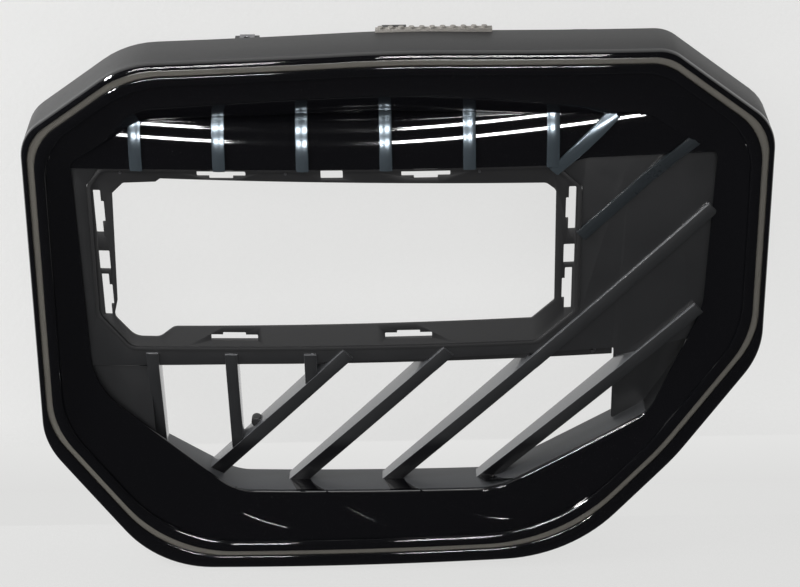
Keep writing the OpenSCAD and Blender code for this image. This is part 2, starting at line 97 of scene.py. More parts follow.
# Opening in the funnel, with as many corners
LIP_LINE = [
    (0, -85, 1500), (272, -86, 55), (349, -134, 16), (344, -330, 90), (288, -468, 45),
    (112, -568, 90), (-195, -568, 60), (-352, -424, 90), (-353, -135, 16), (-277, -90, 50),
]
# Below this height the funnel's lip is its lower edge
LIP_BOTTOM_Z = -540
# Edges of those lines whose rim carries a wider lip
WIDE_EDGES = range(3, 7)

# Diagonal ribs: foot, head, slot and finish
DIAGONALS = [
    ((170, -150), (235, -85), "satin_rib", "satin_rib"),
    # The second diagonal lies mostly on the flat panel and takes the ribs' colour darkened there
    # as painted shade
    ((202, -232), (322, -116), "satin_slat", "dark_rib"),
]
# Slats: foot, knee under the crossbar, and head of the cap over the panel
SLATS = {
    "slat_a": ((-230, -567), (-77.5, -397), (-58, -377)),
    "slat_b": ((-121, -567), (34, -397), (56, -375)),
    "slat_c": ((-10, -567), (149, -397), (348, -204)),
    "slat_d": ((102, -567), (268, -397), (339, -331)),
}
CAP_RISE = 4.0
BAR_RISE = 3.0
BAR_TOP_Z = -378.0
FIRST_BAR_FOOT = (-507.5, -518.5)
BOSS_X, BOSS_R, BOSS_L = -168.0, 6, 12
# Depth of a slat under the crossbar and at its foot, and how far its face falls back
SLAT_DEPTH = 27.0
FOOT_DEPTH = 16.0
LEAN = 27.0
SILL_LINE = [(-302, -494), (-282, -513), (-196, -567), (112, -567), (246, -493), (290, -467)]
RIB_X = [-281 + 90 * i for i in range(6)]


# ---- plane geometry of the outlines ----

def edge_vectors(path, i):
    """Direction and outward normal of the edge that starts at corner i."""
    a, b = path[i % len(path)], path[(i + 1) % len(path)]
    d = Vector((b[0] - a[0], b[1] - a[1])).normalized()
    return d, Vector((-d.y, d.x))


def moved(path, steps):
    """The path with each edge moved outwards by its own step."""
    out = []
    for i, corner in enumerate(path):
        d1, n1 = edge_vectors(path, i - 1)
        d2, n2 = edge_vectors(path, i)
        before = steps[i - 1]
        t = (steps[i] - before * n1.dot(n2)) / d1.dot(n2)
        p = Vector(corner[:2]) + n1 * before + d1 * t
        bend = -1 if d1.dot(n2) > 0 else 1
        out.append((p.x, p.y, max(0.5, corner[2] + bend * min(before, steps[i]))))
    return out


def outline(path, counts, corner_steps=14):
    """Points along the path, with its corners as arcs and its edges shared out."""
    arcs = []
    for i, corner in enumerate(path):
        d1, n1 = edge_vectors(path, i - 1)
        d2, _ = edge_vectors(path, i)
        turn = math.acos(max(-1.0, min(1.0, d1.dot(d2))))
        side = 1 if d1.x * d2.y - d1.y * d2.x < 0 else -1
        r = corner[2]
        centre = Vector(corner[:2]) - d1 * r * math.tan(turn / 2) - n1 * side * r
        start = math.atan2(side * n1.y, side * n1.x)
        arcs.append([
            centre + r * Vector((math.cos(a), math.sin(a)))
            for a in (start - side * turn * k / corner_steps for k in range(corner_steps + 1))
        ])
    points = []
    for i, arc in enumerate(arcs):
        points += arc
        after = arcs[(i + 1) % len(arcs)][0]
        points += [arc[-1].lerp(after, k / counts[i]) for k in range(1, counts[i])]
    return points


def shares(path, pitch=16.0):
    """How many parts each edge of the path is shared into."""
    n = len(path)
    return [
        max(2, round((Vector(path[(i + 1) % n][:2]) - Vector(path[i][:2])).length / pitch))
        for i in range(n)
    ]


RING_SHARES = shares(RING_LINE)


def ring_loop(inner=0.0, outer_part=None):
    """Points of a line beside the inlay strip: a step inwards, or a part of the outer lip."""
    if outer_part is None:
        steps = [-inner] * len(RING_LINE)
    else:
        steps = [GROOVE_HALF + outer_part * (WIDE_LIP if i in WIDE_EDGES else NARROW_LIP)
                 for i in range(len(RING_LINE))]
    return outline(moved(RING_LINE, steps), RING_SHARES)


# ---- depths ----

def bow_y(x, y):
    """How far back a surface stands at x when it stands at y in the middle."""
    return BOW_CENTRE_Y - math.sqrt((BOW_CENTRE_Y - y) ** 2 - x * x)


def place(x, y, z):
    """A place on the bowed grille in metres, from millimetres on a straight one."""
    return Vector((x, bow_y(x, y), z)) * MM


def clamp(value):
    """The value kept between 0 and 1."""
    return max(0.0, min(1.0, value))


VISOR_TURN = math.radians(54)
VISOR_LOW = Vector((CREASE_Y, CREASE_Z))
VISOR_HIGH = Vector((CREASE_Y + 36, VISOR_TOP_Z + 5))
VISOR_R = (VISOR_HIGH - VISOR_LOW).length / 2 / math.sin(VISOR_TURN / 2)
VISOR_UP = (VISOR_HIGH - VISOR_LOW).normalized()
VISOR_CENTRE = ((VISOR_LOW + VISOR_HIGH) / 2
                + Vector((VISOR_UP.y, -VISOR_UP.x)) * VISOR_R * math.cos(VISOR_TURN / 2))
VISOR_START = math.atan2(VISOR_UP.x, VISOR_UP.y) - VISOR_TURN / 2


def visor_turn_at(x):
    """How much more upright the visor stands towards its ends, in radians."""
    middle, left_reach, right_reach = -40, 240, 265
    if x < middle:
        return math.radians(7) * ((middle - x) / left_reach) ** 2
    return math.radians(17) * ((x - middle) / right_reach) ** 1.6


def visor_point(x, part, rise=0.0):
    """Depth and height on the visor, from its crease at 0 to its upper edge at 1."""
    a = VISOR_START + VISOR_TURN * part
    p = VISOR_CENTRE + (VISOR_R + rise) * Vector((-math.cos(a), math.sin(a))) - VISOR_LOW
    turn = visor_turn_at(x)
    c, s = math.cos(turn), math.sin(turn)
    return VISOR_LOW + Vector((p.x * c - p.y * s, p.x * s + p.y * c))


def visor_y(x, z):
    """Depth of the visor's front at a height above its crease."""
    low, high = 0.0, 1.25
    for _ in range(24):
        mid = (low + high) / 2
        if visor_point(x, mid).y < z:
            low = mid
        else:
            high = mid
    return visor_point(x, low).x


def face_y(x, z):
    """Depth of the panel or the visor."""
    if z > CREASE_Z:
        return visor_y(x, z)
    ramp = 30
    return PANEL_Y + (CREASE_Y - PANEL_Y) * max(0.0, 1 - (CREASE_Z - z) / ramp)


# ---- building meshes ----

def sweep(name, loops, closed_loop=True, joined=True, angle=35):
    """A skin through loops of places: the first is drawn, and each next one is extruded. The
    last is joined to the first, or else the ends of a closed loop are filled."""
    bm = bmesh.new()
    order = bm.verts.layers.int.new("order")
    verts = [bm.verts.new(p) for p in loops[0]]
    for i, v in enumerate(verts):
        v[order] = i
    after = verts[1:] + verts[:1] if closed_loop else verts[1:]
    edges = [bm.edges.new(pair) for pair in zip(verts, after)]
    first = list(edges)
    for loop in loops[1:]:
        grown = bmesh.ops.extrude_edge_only(bm, edges=edges)["geom"]
        edges = [g for g in grown if isinstance(g, bmesh.types.BMEdge)]
        for v in grown:
            if isinstance(v, bmesh.types.BMVert):
                v.co = loop[v[order]]
    if joined:
        bmesh.ops.bridge_loops(bm, edges=first + edges)
    elif closed_loop:
        bmesh.ops.holes_fill(bm, edges=first + edges)
    return finished(name, bm, angle)


def finished(name, bm, angle=35):
    """An object from the mesh, smooth but for edges sharper than the angle in degrees."""
    bmesh.ops.remove_doubles(bm, verts=bm.verts, dist=SAME_PLACE)
    bmesh.ops.recalc_face_normals(bm, faces=bm.faces)
    for f in bm.faces:
        f.smooth = True
    for e in bm.edges:
        e.smooth = not (len(e.link_faces) == 2 and e.calc_face_angle() > math.radians(angle))
    mesh = bpy.data.meshes.new(name)
    bm.to_mesh(mesh)
    bm.free()
    ob = bpy.data.objects.new(name, mesh)
    bpy.context.scene.collection.objects.link(ob)
    return ob


def bevelled(bm, width, angle, segments):
    """Bevels the mesh's edges that are sharper than the angle in degrees."""
    sharp = [e for e in bm.edges
             if len(e.link_faces) == 2 and e.calc_face_angle() > math.radians(angle)]
    bmesh.ops.bevel(bm, geom=sharp, offset=width * MM, offset_type="OFFSET", segments=segments,
                    profile=0.5, affect="EDGES", clamp_overlap=True, material=-1)


def softened(name, node, width=0.5, angle=35):
    """A copy of a frame node whose sharp edges are bevelled."""
    bm = bmesh.new()
    bm.from_mesh(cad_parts[node].data)
    bmesh.ops.remove_doubles(bm, verts=bm.verts, dist=SAME_PLACE)
    bmesh.ops.dissolve_limit(bm, angle_limit=math.radians(0.4), verts=bm.verts, edges=bm.edges)
    bevelled(bm, width, angle, 2)
    return finished(name, bm, 30)


def ribbon(name, stations, edge, crown=0.0):
    """A bar drawn from station to station. A station gives its left and right sides in x and z,
    the depth of its face as a function of x and z, and how far back its sides go."""
    loops = []
    for left, right, front, back in stations:
        left, right = Vector(left), Vector(right)
        w = max(0.01, (right - left).length)
        loop = []
        for u, rise, at_back in (
            (0, 0, True), (0, edge, False), (edge * 0.3, edge * 0.3, False), (edge, 0, False),
            (w / 2, -crown, False), (w - edge, 0, False), (w - edge * 0.3, edge * 0.3, False),
            (w, edge, False), (w, 0, True),
        ):
            p = left.lerp(right, clamp(u / w))
            y = back if at_back else front(p.x, p.y) + rise
            loop.append(place(p.x, y, p.y))
        loops.append(loop)
    return sweep(name, loops, joined=False, angle=40)


# ---- shader building ----

class Value:
    """A socket that can stand in a sum."""

    def __init__(self, finish, socket):
        self.finish = finish
        self.socket = socket

    def math(self, operation, a, b):
        return self.finish.node("ShaderNodeMath", {"operation": operation}, {0: a, 1: b})

    def __add__(self, other):
        return self.math("ADD", self, other)

    def __sub__(self, other):
        return self.math("SUBTRACT", self, other)

    def __mul__(self, other):
        return self.math("MULTIPLY", self, other)

    def __rsub__(self, other):
        return self.math("SUBTRACT", other, self)

    __radd__ = __add__
    __rmul__ = __mul__

    def clamped(self):
        return self.math("MINIMUM", self.math("MAXIMUM", self, 0.0), 1.0)


class Finish:
    """The nodes of a material or a world, and the one way of adding to them."""

    def __init__(self, owner):
        self.owner = owner
        owner.use_nodes = True
        self.tree = owner.node_tree
        self.tree.nodes.clear()

    @classmethod
    def named(cls, name):
        return cls(bpy.data.materials.new(name))

    def node(self, kind, settings=None, sockets=None, out=0):
        """Adds a node with its settings and the values or links of its sockets."""
        made = self.tree.nodes.new(kind)
        for key, value in (settings or {}).items():
            setattr(made, key, value)
        for key, value in (sockets or {}).items():
            if isinstance(value, Value):
                self.tree.links.new(value.socket, made.inputs[key])
            else:
                made.inputs[key].default_value = value
        return Value(self, made.outputs[out]) if len(made.outputs) else None

    def where(self):
        return self.node("ShaderNodeTexCoord", out="Object")

    def height(self):
        return self.node("ShaderNodeSeparateXYZ", None, {0: self.where()}, out="Z")

    def noise(self, scale, detail=2.0, stretch=(1, 1, 1), rough=0.5):
        placed = self.node("ShaderNodeMapping", None, {"Vector": self.where(), "Scale": stretch})
        return self.node("ShaderNodeTexNoise", {"noise_dimensions": "3D"},
                         {"Vector": placed, "Scale": scale, "Detail": detail, "Roughness": rough})

    def blend(self, factor, a, b):
        return self.node("ShaderNodeMix", {"data_type": "RGBA"}, {0: factor, 6: a, 7: b}, out=2)

    def bump(self, height, strength, distance):
        return self.node("ShaderNodeBump", None,
                         {"Height": height, "Strength": strength, "Distance": distance})

    def surface(self, **sockets):
        """Ends the material in a shader with these sockets."""
        spelled = {"specular": "Specular IOR Level", "coat_ior": "Coat IOR"}
        named = {spelled.get(key, key.replace("_", " ").title()): value
                 for key, value in sockets.items()}
        skin = self.node("ShaderNodeBsdfPrincipled", None, named)
        self.node("ShaderNodeOutputMaterial", None, {"Surface": skin})
        return self.owner


def shade(colour, part):
    """A colour made darker or lighter, with its alpha."""
    return tuple(min(1.0, c * part) for c in colour[:3]) + (1.0,)


# ---- settings ----

def colour_setting(name, description, default):
    return bpy.props.FloatVectorProperty(name=name, description=description, subtype="COLOR",
                                         size=3, min=0.0, max=1.0, default=default)


def length_setting(name, description, default, low, high):
    return bpy.props.FloatProperty(name=name, description=description, default=default, min=low,
                                   max=high, unit="LENGTH")


class GrilleShapes(bpy.types.PropertyGroup):
    """Small sizes of the visible pieces."""

    bead_rise: length_setting("Bead rise", "How far the ring's beads stand before the strip",
                              0.003, 0.001, 0.005)
    strip_crown: length_setting("Strip crown", "How far the strip's middle stands proud",
                                0.0003, 0.0, 0.001)
    rib_width: length_setting("Rib width", "Width of a rib on the visor", 0.014, 0.01, 0.018)
    rib_rise: length_setting("Rib rise", "How far a rib stands out of the visor", 0.003, 0.001,
                             0.005)
    slat_width: length_setting("Slat width", "Width of a slat's face", 0.0155, 0.012, 0.018)
    foot_width: length_setting("Foot width", "Width of a slat's face at the sill", 0.018,
                               0.012, 0.022)
    diagonal_width: length_setting("Diagonal width", "Width of a diagonal rib", 0.014, 0.009,
                                   0.018)


class GrilleFinishes(bpy.types.PropertyGroup):
    """Colours of the mouldings."""

    gloss: colour_setting("Gloss black", "Ring, funnel and visor", (0.004, 0.004, 0.005))
    strip: colour_setting("Inlay strip", "Strip in the ring's groove", (0.17, 0.16, 0.14))
    skirt: colour_setting("Skirt", "Grained moulding behind the ring", (0.022, 0.022, 0.023))
    panel: colour_setting("Panel", "Satin panel beside the plate frame", (0.024, 0.0245, 0.026))
    plate: colour_setting("Plate frame", "Matte frame for the number plate",
                          (0.013, 0.013, 0.014))
    rib: colour_setting("Ribs", "Satin ribs across the visor", (0.10, 0.125, 0.145))
    slat: colour_setting("Slats", "Satin slats, bars and sill", (0.024, 0.025, 0.027))
    seal: colour_setting("Seal", "Foam seal on the top edge", (0.33, 0.31, 0.28))
    steel: colour_setting("Steel", "Spring nuts and screws", (0.22, 0.22, 0.23))


class GrilleStage(bpy.types.PropertyGroup):
    """Floor, wall, lights and camera."""

    wall_gap: length_setting("Wall gap", "How far behind the grille the wall stands", 0.085,
                             0.03, 0.5)
    tube_light: bpy.props.FloatProperty(name="Tube lights", description="Power of one tube",
                                        default=18.0, min=0.0, max=200.0, unit="POWER")
    soft_light: bpy.props.FloatProperty(name="Soft light", description="Power of the soft light",
                                        default=17.0, min=0.0, max=500.0, unit="POWER")
    wall_glow: bpy.props.FloatProperty(name="Wall glow", description="Light the paper gives",
                                       default=0.68, min=0.0, max=1.0)
    wall: colour_setting("Wall", "Colour of the wall and the floor", (0.86, 0.86, 0.86))


# ---- finishes ----

def gloss_finish(name, colour):
    """Polished moulding with a few dust specks and faint wiping marks."""
    f = Finish.named(name)
    smear = f.noise(14.0, 4.0, (1.0, 1.0, 2.6))
    dust = ((f.noise(1500.0, 1.0) - 0.74) * 16.0).clamped() * 0.5
    tint = f.blend(dust, shade(colour, 1.0), (0.16, 0.16, 0.16, 1.0))
    return f.surface(base_color=tint, roughness=0.03 + smear * 0.03 + dust * 0.4,
                     specular=0.5)


def satin_finish(name, colour, roughness=0.36, smudge=0.12, metallic=0.0, grain=0.08):
    """Painted or moulded satin surface with handling marks."""
    f = Finish.named(name)
    marks = f.noise(22.0, 5.0, rough=0.62)
    fine = f.noise(2600.0, 2.0)
    dust = ((f.noise(1300.0, 1.0) - 0.75) * 14.0).clamped()
    tint = f.blend(marks, shade(colour, 0.9), shade(colour, 1.12))
    tint = f.blend(dust * 0.5, tint, (0.2, 0.2, 0.2, 1.0))
    return f.surface(base_color=tint, metallic=metallic,
                     roughness=roughness - smudge / 2 + marks * smudge,
                     normal=f.bump(fine, grain, 0.0002))


def grained_finish(name, colour, roughness=0.52, grain=0.5, scale=1500.0, stretch=(0.35, 1, 1)):
    """Moulded plastic with a fine drawn grain."""
    f = Finish.named(name)
    lines = f.noise(scale, 3.0, stretch)
    cloud = f.noise(9.0, 3.0)
    tint = f.blend(lines, shade(colour, 0.78), shade(colour, 1.25))
    tint = f.blend(cloud * 0.5, tint, shade(colour, 1.1))
    return f.surface(base_color=tint, roughness=roughness + (lines - 0.5) * 0.14,
                     normal=f.bump(lines, grain, 0.0004))


def slat_finish(name, colour, gloss):
    """Satin face that turns black towards the foot."""
    f = Finish.named(name)
    marks = f.noise(26.0, 4.0)
    fine = f.noise(2600.0, 2.0)
    foot = ((-0.5 - f.height() + (marks - 0.5) * 0.01) * 60.0).clamped()
    tint = f.blend(foot, f.blend(marks, shade(colour, 0.9), shade(colour, 1.12)),
                   shade(gloss, 1.4))
    return f.surface(base_color=tint, roughness=0.38 + marks * 0.08 - foot * 0.1,
                     specular=0.35, normal=f.bump(fine, 0.06, 0.0002))


def side_finish(name, colour):
    """Grained side of a slat with a painted reflection: its colour is painted much lighter than
    the slat's face to stand for the bright wall that it mirrors. It also shines at a low angle.
    """
    f = Finish.named(name)
    grain = f.noise(700.0, 4.0, rough=0.65)
    cloud = f.noise(60.0, 3.0)
    # Painted reflection: the side is painted 2.6 to 7 times lighter than the slat's own colour
    tint = f.blend(grain, shade(colour, 2.6), shade(colour, 7.0))
    tint = f.blend(cloud * 0.4, tint, shade(colour, 4.5))
    return f.surface(base_color=tint, roughness=0.3 + grain * 0.12, specular=1.0,
                     coat_weight=1.0, coat_roughness=0.12, coat_ior=1.9,
                     normal=f.bump(grain, 0.25, 0.0003))


def foam_finish(name, colour):
    """Cut foam with open cells."""
    f = Finish.named(name)
    cells = f.node("ShaderNodeTexVoronoi", {"feature": "F1"},
                   {"Vector": f.where(), "Scale": 900.0})
    tint = f.blend(cells, shade(colour, 0.7), shade(colour, 1.15))
    return f.surface(base_color=tint, roughness=0.9, normal=f.bump(cells, 0.6, 0.0006))


def steel_finish(name, colour):
    """Plated steel with drawing lines."""
    f = Finish.named(name)
    lines = f.noise(2200.0, 2.0, (0.1, 1, 1))
    tint = f.blend(lines, shade(colour, 0.75), shade(colour, 1.2))
    return f.surface(base_color=tint, metallic=1.0, roughness=0.3 + lines * 0.15,
                     normal=f.bump(lines, 0.15, 0.0001))


FINISHES = {}
# A face whose normal points further forwards than this is a front, and others are sides
FRONT_FACING = -0.6


def finish(name):
    """One finish, made once from the scene's settings."""
    if name not in FINISHES:
        c = bpy.context.scene.grille_finishes
        makers = {
            "gloss_black": (gloss_finish, c.gloss),
            "taupe_inlay": (satin_finish, c.strip, 0.24, 0.05, 0.0, 0.02),
            "grained_plastic": (grained_finish, c.skirt),
            "satin_panel": (satin_finish, c.panel, 0.33, 0.14),
            "matte_frame": (grained_finish, c.plate, 0.5, 0.2, 2600.0, (1, 1, 1)),
            "satin_rib": (satin_finish, c.rib, 0.2, 0.06, 0.55, 0.03),
            # Painted shade: a darker copy of the ribs' colour for the diagonal on the flat panel,
            # where it catches less light
            "dark_rib": (satin_finish, shade(c.rib, 0.24), 0.28, 0.06, 0.1, 0.03),
            "satin_slat": (slat_finish, c.slat, c.gloss),
            # Slat sides: real grain, with a painted reflection in a much lighter colour
            "grained_side": (side_finish, c.slat),
            "sill_plastic": (grained_finish, shade(c.slat, 2.4), 0.42, 0.4, 900.0, (1, 1, 1)),
            "seal_foam": (foam_finish, c.seal),
            "buffer_rubber": (grained_finish, (0.02, 0.02, 0.02), 0.7),
            "spring_steel": (steel_finish, c.steel),
            "screw_steel": (steel_finish, shade(c.steel, 0.8)),
        }
        maker, *values = makers[name]
        FINISHES[name] = maker(name, *values)
    return FINISHES[name]


def settle(ob, slot, node=None, look=None, sides=None):
    """Gives a piece its finish, its body and the frame node that it stands for."""
    ob.data.materials.clear()
    ob.data.materials.append(finish(look or slot))
    if sides:
        ob.data.materials.append(finish(sides))
        for f in ob.data.polygons:
            f.material_index = int(f.normal.y > FRONT_FACING)
    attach(ob, "root")
    if node:
        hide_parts(node)


# ---- pieces ----

class GRILLE_OT_ring(bpy.types.Operator):
    """Gloss ring with two beads, and the inlay strip between them"""

    bl_idname = "grille.ring"
    bl_label = "Ring and inlay strip"

    def execute(self, context):
        full_rise = 3
        rise = context.scene.grille_shapes.bead_rise / MM / full_rise
        # Outer lip: part of its width outwards, and rise of its face over the strip
        outer = [(1.0, -7.0), (1.0, -2.6), (0.97, -1.0), (0.9, 0.35), (0.77, 1.6), (0.58, 2.5),
                 (0.38, 2.95), (0.2, 3.0), (0.1, 2.75), (0.03, 2.2), (0.0, 1.3), (0.0, -1.8)]
        # Inner bead: step inwards from the strip's middle line, and rise over the strip
        inner = [(3.75, -1.8), (3.75, 1.3), (3.95, 2.2), (4.6, 2.8), (5.6, 3.0), (8.0, 2.95),
                 (10.4, 2.7), (12.4, 2.2), (13.8, 1.4), (14.8, 0.2), (15.4, -1.2),
                 (15.75, -3.0), (15.75, -7.0)]
        loops = []
        for part, up in outer:
            y = STRIP_Y - up * rise
            loops.append([place(p.x, y, p.y) for p in ring_loop(outer_part=part)])
        for step, up in inner:
            y = STRIP_Y - up * rise
            loops.append([place(p.x, y, p.y) for p in ring_loop(inner=step)])
        settle(sweep("gloss_ring", loops, angle=50), "gloss_black", "surround_ring")

        crown = context.scene.grille_shapes.strip_crown / MM
        loops = [
            [place(p.x, STRIP_Y + back, p.y) for p in ring_loop(inner=step)]
            for step, back in ((-3.7, 2.0), (-3.7, 0.5), (-3.3, 0.1), (-1.6, -0.7 * crown),
                               (0.0, -crown), (1.6, -0.7 * crown), (3.3, 0.1), (3.7, 0.5),
                               (3.7, 2.0))
        ]
        settle(sweep("strip", loops, angle=50), "taupe_inlay", "inlay_strip")
        return {"FINISHED"}


class GRILLE_OT_funnel(bpy.types.Operator):
    """Gloss funnel from the ring in to the panel"""

    bl_idname = "grille.funnel"
    bl_label = "Funnel"

    def execute(self, context):
        root = ring_loop(inner=INNER_BEAD)
        lip = outline(LIP_LINE, RING_SHARES)
        start_y = RING_BACK_Y - FUNNEL_START

        def skin(i, part, proud=0.0):
            """A place on the funnel between the ring at 0 and the panel at 1."""
            i, rest = int(i) % len(root), i - int(i)
            j = (i + 1) % len(root)
            a, b = root[i].lerp(root[j], rest), lip[i].lerp(lip[j], rest)
            p = a.lerp(b, part)
            edge = face_y(b.x, b.y) - LIP_PROUD
            # It dips between its edges, is straight at the bottom, and bulges along the top
            top, low = clamp((b.y + 170) / 60), clamp((-440 - b.y) / 60)
            dip = math.sin(math.pi * part) * FUNNEL_DIP * (1 - top) * (1 - low)
            y = start_y + (edge - start_y) * part ** (1 + 0.9 * top) + dip
            return place(p.x, y - proud, p.y)

        def shell(proud):
            return [[skin(i, k / 16, proud) for i in range(len(root))] for k in range(17)]

        # Round the lip over so that its edge catches light
        inwards, backwards = 0.5, 1.3
        rounding = moved(LIP_LINE, [-inwards] * len(LIP_LINE))
        turned = [place(b.x, face_y(b.x, b.y) - LIP_PROUD + backwards, b.y)
                  for b in outline(rounding, RING_SHARES)]
        settle(sweep("funnel", shell(0.0) + [turned] + shell(-FUNNEL_WALL)[::-1], angle=50),
               "gloss_black", "inner_bezel")

        def lip_index(x):
            """Place along the lip's lower edge at x."""
            low = [i for i, p in enumerate(lip) if p.y < LIP_BOTTOM_Z]
            for i in low[:-1]:
                if lip[i].x >= x >= lip[i + 1].x:
                    return i + (lip[i].x - x) / max(1e-6, lip[i].x - lip[i + 1].x)
            return low[-1]

        def tongue(name, x):
            """Gloss tongue on the sill in front of the slat whose foot is at x."""
            # Part of its width from the left, and rise over the sill
            section = ((0.0, -1.6), (0.0, 0.1), (0.12, 0.35), (0.5, 0.45), (0.88, 0.35),
                       (1.0, 0.1), (1.0, -1.6))
            rear_y, length = PANEL_Y + 23, 20.8
            loops = []
            for k in range(13):
                part = k / 12
                left, right = x - 10 + 7 * part, x + 14 + 16 * part ** 1.6
                z = max(sill_height(left), sill_height(right), SILL_Z)
                loops.append([place(left + (right - left) * u, rear_y - length * part, z + up)
                              for u, up in section])
            settle(sweep(name, loops, joined=False, angle=60), "gloss_black")

        def crease(name, x):
            """Crease that runs on from a tongue over the funnel, and fades at both ends."""
            # Part of the funnel's width outwards, and rise over the funnel
            section = ((0.0, -0.6), (0.008, 0.2), (0.018, 0.7), (0.03, 0.9), (0.042, 0.75),
                       (0.055, 0.25), (0.064, -0.6))
            start, end, reach = lip_index(x + 32), lip_index(x + 112), 0.84
            loops = []
            for k in range(33):
                t = k / 32
                fade = min(1.0, t * 9 + 0.2, (1 - t) * 4 + 0.05)
                part = 1.0 - reach * t ** 0.85
                loops.append([skin(start + (end - start) * t, part + aside, up * fade)
                              for aside, up in section])
            settle(sweep(name, loops, joined=False, angle=60), "gloss_black")

        for name, (foot, _, _) in SLATS.items():
            # The sill slopes at the first slat's foot, and the funnel turns up at the last's
            if name != "slat_a":
                tongue(f"{name}_tongue", foot[0])
            if name != "slat_d":
                crease(f"{name}_crease", foot[0])
        return {"FINISHED"}


class GRILLE_OT_visor(bpy.types.Operator):
    """Curved visor with its six ribs"""

    bl_idname = "grille.visor"
    bl_label = "Visor and ribs"

    def execute(self, context):
        shapes = context.scene.grille_shapes
        loops = []
        for k in range(73):
            x = VISOR_LEFT + (VISOR_RIGHT - VISOR_LEFT) * k / 72
            step = CREASE_STEP * clamp((x - CREASE_STEP_X) / CREASE_STEP_L)
            top = outline_top(x)
            line = [(CREASE_Y + 4.5, CREASE_Z - 5 + step), (CREASE_Y + 0.8, CREASE_Z - 5 + step),
                    (CREASE_Y, CREASE_Z - 4 + step)]
            for n in range(33):
                p = visor_point(x, n / 32 * 1.04)
                if CREASE_Z - 3.4 + step < p.y < top:
                    line.append((p.x, p.y))
                elif p.y >= top:
                    line.append((visor_y(x, top), top))
                else:
                    line.append(line[-1])
            loops.append([place(x, y, z) for y, z in line])
        visor = sweep("visor", loops, closed_loop=False, joined=False, angle=60)
        thick = visor.modifiers.new("wall", "SOLIDIFY")
        thick.thickness = VISOR_WALL * MM
        thick.offset = -1.0
        settle(visor, "gloss_black", "visor_panel")

        half, rise = shapes.rib_width / MM / 2, shapes.rib_rise / MM
        below = 0.16
        for i, x in enumerate(RIB_X):
            stations = []
            for k in range(28):
                part = -below + 1.2 * k / 27
                if part < 0:
                    y, z, back = CREASE_Y - rise, CREASE_Z + part / below * 5.0, CREASE_Y + 1
                else:
                    y, z = visor_point(x, part, rise)
                    back = visor_point(x, part, -1.5).x
                stations.append(((x - half, z), (x + half, z), lambda *_, y=y: y, back))
            settle(ribbon(f"rib_{i + 1}", stations, edge=1.3, crown=0.5), "satin_rib",
                   f"visor_rib_{i + 1}")
        return {"FINISHED"}


def outline_top(x):
    """Height of the visor's upper edge, behind the funnel's lip: level between two corners, and
    falling away beyond them."""
    left_corner, right_corner = -281, 275
    if x < left_corner:
        return -130 + 44 * (x - VISOR_LEFT) / (left_corner - VISOR_LEFT)
    if x > right_corner:
        return -82 - (x - right_corner) * 48 / 84
    drop = 5.0 if x < 0 else 1.0
    return -81 - drop * abs(x) / 280


class GRILLE_OT_panel(bpy.types.Operator):
    """Flat panel, plate frame, crossbar, sill and fill panels"""

    bl_idname = "grille.panel"
    bl_label = "Panel and plate frame"

    def execute(self, context):
        settle(softened("panel_skin", "flat_panel", 0.5), "satin_panel", "flat_panel")
        settle(softened("plate_surround", "plate_frame", 0.4), "matte_frame", "plate_frame")
        settle(softened("cross_member", "crossbar", 0.8), "matte_frame", "crossbar")
        settle(softened("sill_shelf", "lower_sill", 0.5), "satin_slat", "lower_sill",
               look="sill_plastic")
        left_fill = softened("left_fill", "left_fill_panel", 0.5)
        # Its inner edge reaches under the first bar
        edge, rim, reach = max(v.co.x for v in left_fill.data.vertices), 2 * MM, 3.5 * MM
        for v in left_fill.data.vertices:
            if v.co.x > edge - rim:
                v.co.x += reach
        settle(left_fill, "satin_panel", "left_fill_panel")
        settle(softened("right_fill", "right_fill_panel", 0.5), "satin_panel",
               "right_fill_panel")
        return {"FINISHED"}


class GRILLE_OT_diagonals(bpy.types.Operator):
    """Diagonal ribs over the visor and the panel"""

    bl_idname = "grille.diagonals"
    bl_label = "Diagonal ribs"

    def execute(self, context):
        shapes = context.scene.grille_shapes
        rise, width = shapes.rib_rise / MM, shapes.diagonal_width / MM
        for i, (foot, head, slot, look) in enumerate(DIAGONALS):
            foot, head = Vector(foot), Vector(head)
            side = across((head - foot).normalized()) * width
            stations = []
            for k in range(41):
                p = foot.lerp(head, k / 40)
                stations.append((p + side, p - side,
                                 lambda x, z: face_y(x, z) - rise, face_y(p.x, p.y) + 2.5))
            settle(ribbon(f"diagonal_{i + 1}", stations, edge=1.3, crown=0.3), slot,
                   f"diagonal_rib_{i + 1}", look=look)
        return {"FINISHED"}


def sill_height(x):
    """Height of the sill's upper side at x."""
    for (x0, z0), (x1, z1) in zip(SILL_LINE, SILL_LINE[1:]):
        if x0 <= x <= x1:
            return z0 + (z1 - z0) * (x - x0) / (x1 - x0)
    return SILL_LINE[0][1] if x < SILL_LINE[0][0] else SILL_LINE[-1][1]


def lean_part(z):
    """How far down a slat a height lies, from the crossbar at 0 to the sill at 1."""
    return max(0.0, (CROSSBAR_Z - 1 - z) / (CROSSBAR_Z - 1 - SILL_Z))


def lean_back(rise, z):
    """Depth of the rear of a slat or bar whose face stands out of the panel by a rise."""
    return PANEL_Y - rise + SLAT_DEPTH + (LEAN + FOOT_DEPTH - SLAT_DEPTH) * lean_part(z)


def under_bar(x):
    """Height of the crossbar's lower edge, which climbs to the right."""
    left, length, climb = -300, 543, 6
    return CROSSBAR_Z - 0.5 + climb * min(1.0, (x - left) / length)


def on_slat_a(x, width):
    """Height of the upper side of slat A, which is this wide."""
    (x0, z0), (x1, z1), _ = SLATS["slat_a"]
    slope = (z1 - z0) / (x1 - x0)
    return z0 + (x - x0) * slope + width / 2 * math.sqrt(1 + slope * slope)


def across(d):
    """Half a step to the left of a direction."""
    return Vector((-d.y, d.x)) / 2


